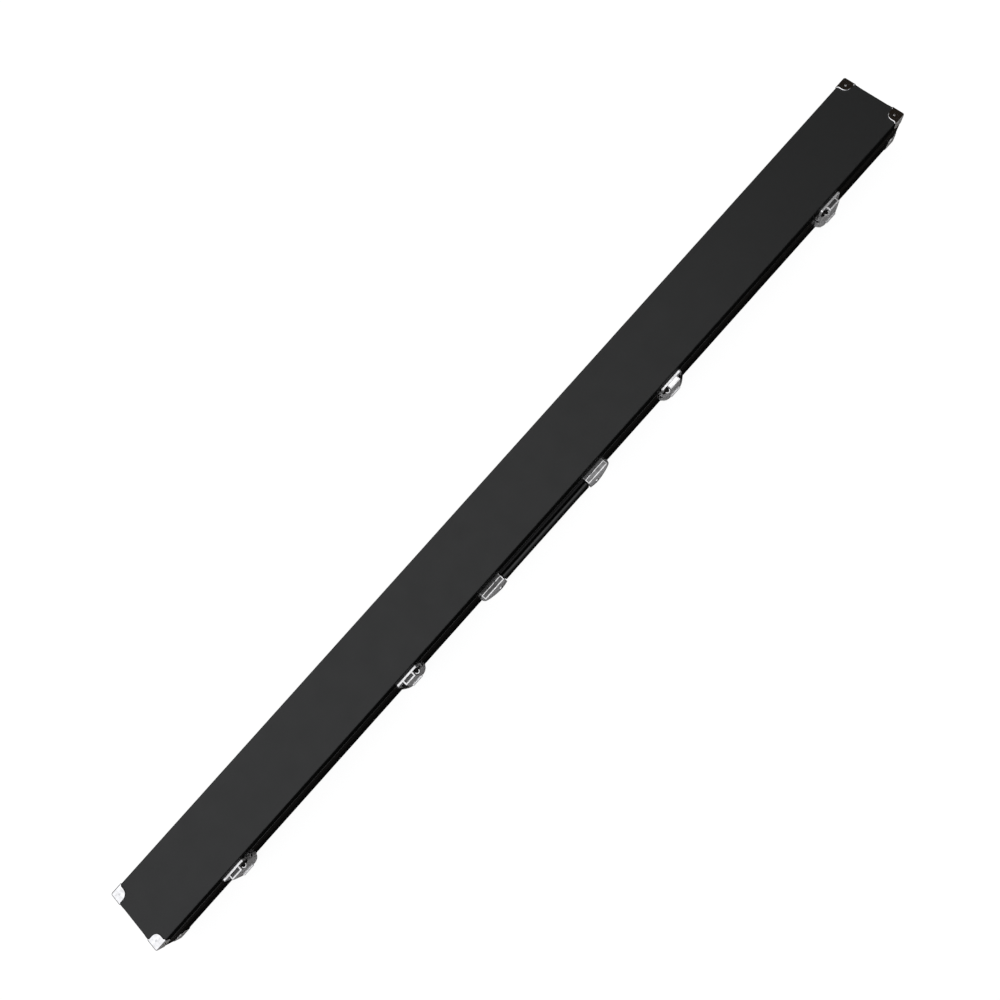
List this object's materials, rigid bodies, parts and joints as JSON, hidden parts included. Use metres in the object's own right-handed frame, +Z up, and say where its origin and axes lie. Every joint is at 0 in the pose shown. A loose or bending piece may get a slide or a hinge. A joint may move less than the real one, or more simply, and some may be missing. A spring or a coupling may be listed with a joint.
{
  "type": "cue case",
  "caption": "Long hard case for one-piece billiard cues: vinyl-covered plywood box with a hinged lid, spring latches, steel corner protectors and a strap handle.",
  "frame": {"origin": "middle of the whole part's footprint, at the plane that the corner protectors rest on", "axes": "+X along the case's length, to the right of a person who faces the latches; -Y is the front wall with the latches and handle; +Z is up, out of the lid"},
  "size_m": [1.5316, 0.1164, 0.0644],
  "materials": {
    "plywood": "sanded plywood",
    "vinyl": "fine-grained matte black vinyl",
    "black_anodised": "black anodised satin",
    "felt": "black felt",
    "velvet_foam": "velvet over foam",
    "corner_chrome": "polished plate",
    "grip_rubber": "satin moulded rubber",
    "spring_steel": "bright spring steel",
    "cap_chrome": "polished plate, lightly pitted top",
    "hinge_steel": "nickel plate",
    "rivet_steel": "polished",
    "hasp_chrome": "polished plate",
    "latch_chrome": "polished plate"
  },
  "bodies": {
    "base": {"base_bottom_panel": "plywood", "base_front_rail": "plywood", "base_back_rail": "plywood", "base_left_end": "plywood", "base_right_end": "plywood", "base_cover": "vinyl", "base_edge_trim": "black_anodised", "base_lining": "felt", "base_cradle_left": "velvet_foam", "base_cradle_centre": "velvet_foam", "base_cradle_right": "velvet_foam", "base_corner_front_left": "corner_chrome", "base_corner_front_right": "corner_chrome", "base_corner_back_left": "corner_chrome", "base_corner_back_right": "corner_chrome", "base_rivets": "rivet_steel", "handle_cap_left": "cap_chrome", "handle_cap_right": "cap_chrome", "handle_screws": "rivet_steel", "latch_springs": "spring_steel", "latch_hasp_pins": "rivet_steel", "hinge_base_leaves": "hinge_steel", "hinge_pins": "hinge_steel", "latch_1_lock_body": "latch_chrome", "latch_2_lock_body": "latch_chrome", "latch_3_lock_body": "latch_chrome", "latch_4_lock_body": "latch_chrome"},
    "lid": {"lid_top_panel": "plywood", "lid_front_rail": "plywood", "lid_back_rail": "plywood", "lid_left_end": "plywood", "lid_right_end": "plywood", "lid_cover": "vinyl", "lid_edge_trim": "black_anodised", "lid_lining": "felt", "lid_pad_left": "velvet_foam", "lid_pad_centre": "velvet_foam", "lid_pad_right": "velvet_foam", "lid_corner_front_left": "corner_chrome", "lid_corner_front_right": "corner_chrome", "lid_corner_back_left": "corner_chrome", "lid_corner_back_right": "corner_chrome", "lid_rivets": "rivet_steel", "hinge_lid_leaves": "hinge_steel", "latch_1_keeper": "latch_chrome", "latch_2_keeper": "latch_chrome", "latch_3_keeper": "latch_chrome", "latch_4_keeper": "latch_chrome"},
    "latch_1_hasp": {"latch_1_hasp": "hasp_chrome"},
    "latch_2_hasp": {"latch_2_hasp": "hasp_chrome"},
    "latch_3_hasp": {"latch_3_hasp": "hasp_chrome"},
    "latch_4_hasp": {"latch_4_hasp": "hasp_chrome"},
    "latch_1_slide": {"latch_1_slide": "latch_chrome"},
    "latch_2_slide": {"latch_2_slide": "latch_chrome"},
    "latch_3_slide": {"latch_3_slide": "latch_chrome"},
    "latch_4_slide": {"latch_4_slide": "latch_chrome"},
    "handle_strap_left": {"handle_grip_left": "grip_rubber", "handle_core_left": "spring_steel"},
    "handle_strap_right": {"handle_grip_right": "grip_rubber", "handle_core_right": "spring_steel"}
  },
  "joints": [
    {"name": "lid_hinge", "type": "hinge", "parent": "base", "child": "lid", "pos_m": [0, 0.0557, 0.028], "axis": [-1, 0, 0], "range_deg": [0, 105]},
    {"name": "hasp_1_swing", "type": "hinge", "parent": "base", "child": "latch_1_hasp", "pos_m": [-0.624, -0.0514, 0.012], "axis": [1, 0, 0], "range_deg": [0, 75]},
    {"name": "hasp_2_swing", "type": "hinge", "parent": "base", "child": "latch_2_hasp", "pos_m": [-0.2735, -0.0514, 0.012], "axis": [1, 0, 0], "range_deg": [0, 75]},
    {"name": "hasp_3_swing", "type": "hinge", "parent": "base", "child": "latch_3_hasp", "pos_m": [0.273, -0.0514, 0.012], "axis": [1, 0, 0], "range_deg": [0, 75]},
    {"name": "hasp_4_swing", "type": "hinge", "parent": "base", "child": "latch_4_hasp", "pos_m": [0.609, -0.0514, 0.012], "axis": [1, 0, 0], "range_deg": [0, 75]},
    {"name": "slide_1_push", "type": "slide", "parent": "base", "child": "latch_1_slide", "axis": [1, 0, 0], "range_m": [0, 0.0025], "stiffness_N_per_m": 150},
    {"name": "slide_2_push", "type": "slide", "parent": "base", "child": "latch_2_slide", "axis": [1, 0, 0], "range_m": [0, 0.0025], "stiffness_N_per_m": 150},
    {"name": "slide_3_push", "type": "slide", "parent": "base", "child": "latch_3_slide", "axis": [-1, 0, 0], "range_m": [0, 0.0025], "stiffness_N_per_m": 150},
    {"name": "slide_4_push", "type": "slide", "parent": "base", "child": "latch_4_slide", "axis": [-1, 0, 0], "range_m": [0, 0.0025], "stiffness_N_per_m": 150},
    {"name": "handle_left_lift", "type": "hinge", "parent": "base", "child": "handle_strap_left", "pos_m": [-0.0993, -0.05065, 0.013], "axis": [0, 0, -1], "range_deg": [0, 12], "stiffness_Nm_per_rad": 0.2},
    {"name": "handle_middle_bend", "type": "hinge", "parent": "handle_strap_left", "child": "handle_strap_right", "pos_m": [0.0027, -0.0474, 0.013], "axis": [0, 0, -1], "range_deg": [-24, 0]}
  ],
  "couplings": [
    {"joint": "handle_middle_bend", "follows": "handle_left_lift", "ratio": -2}
  ]
}
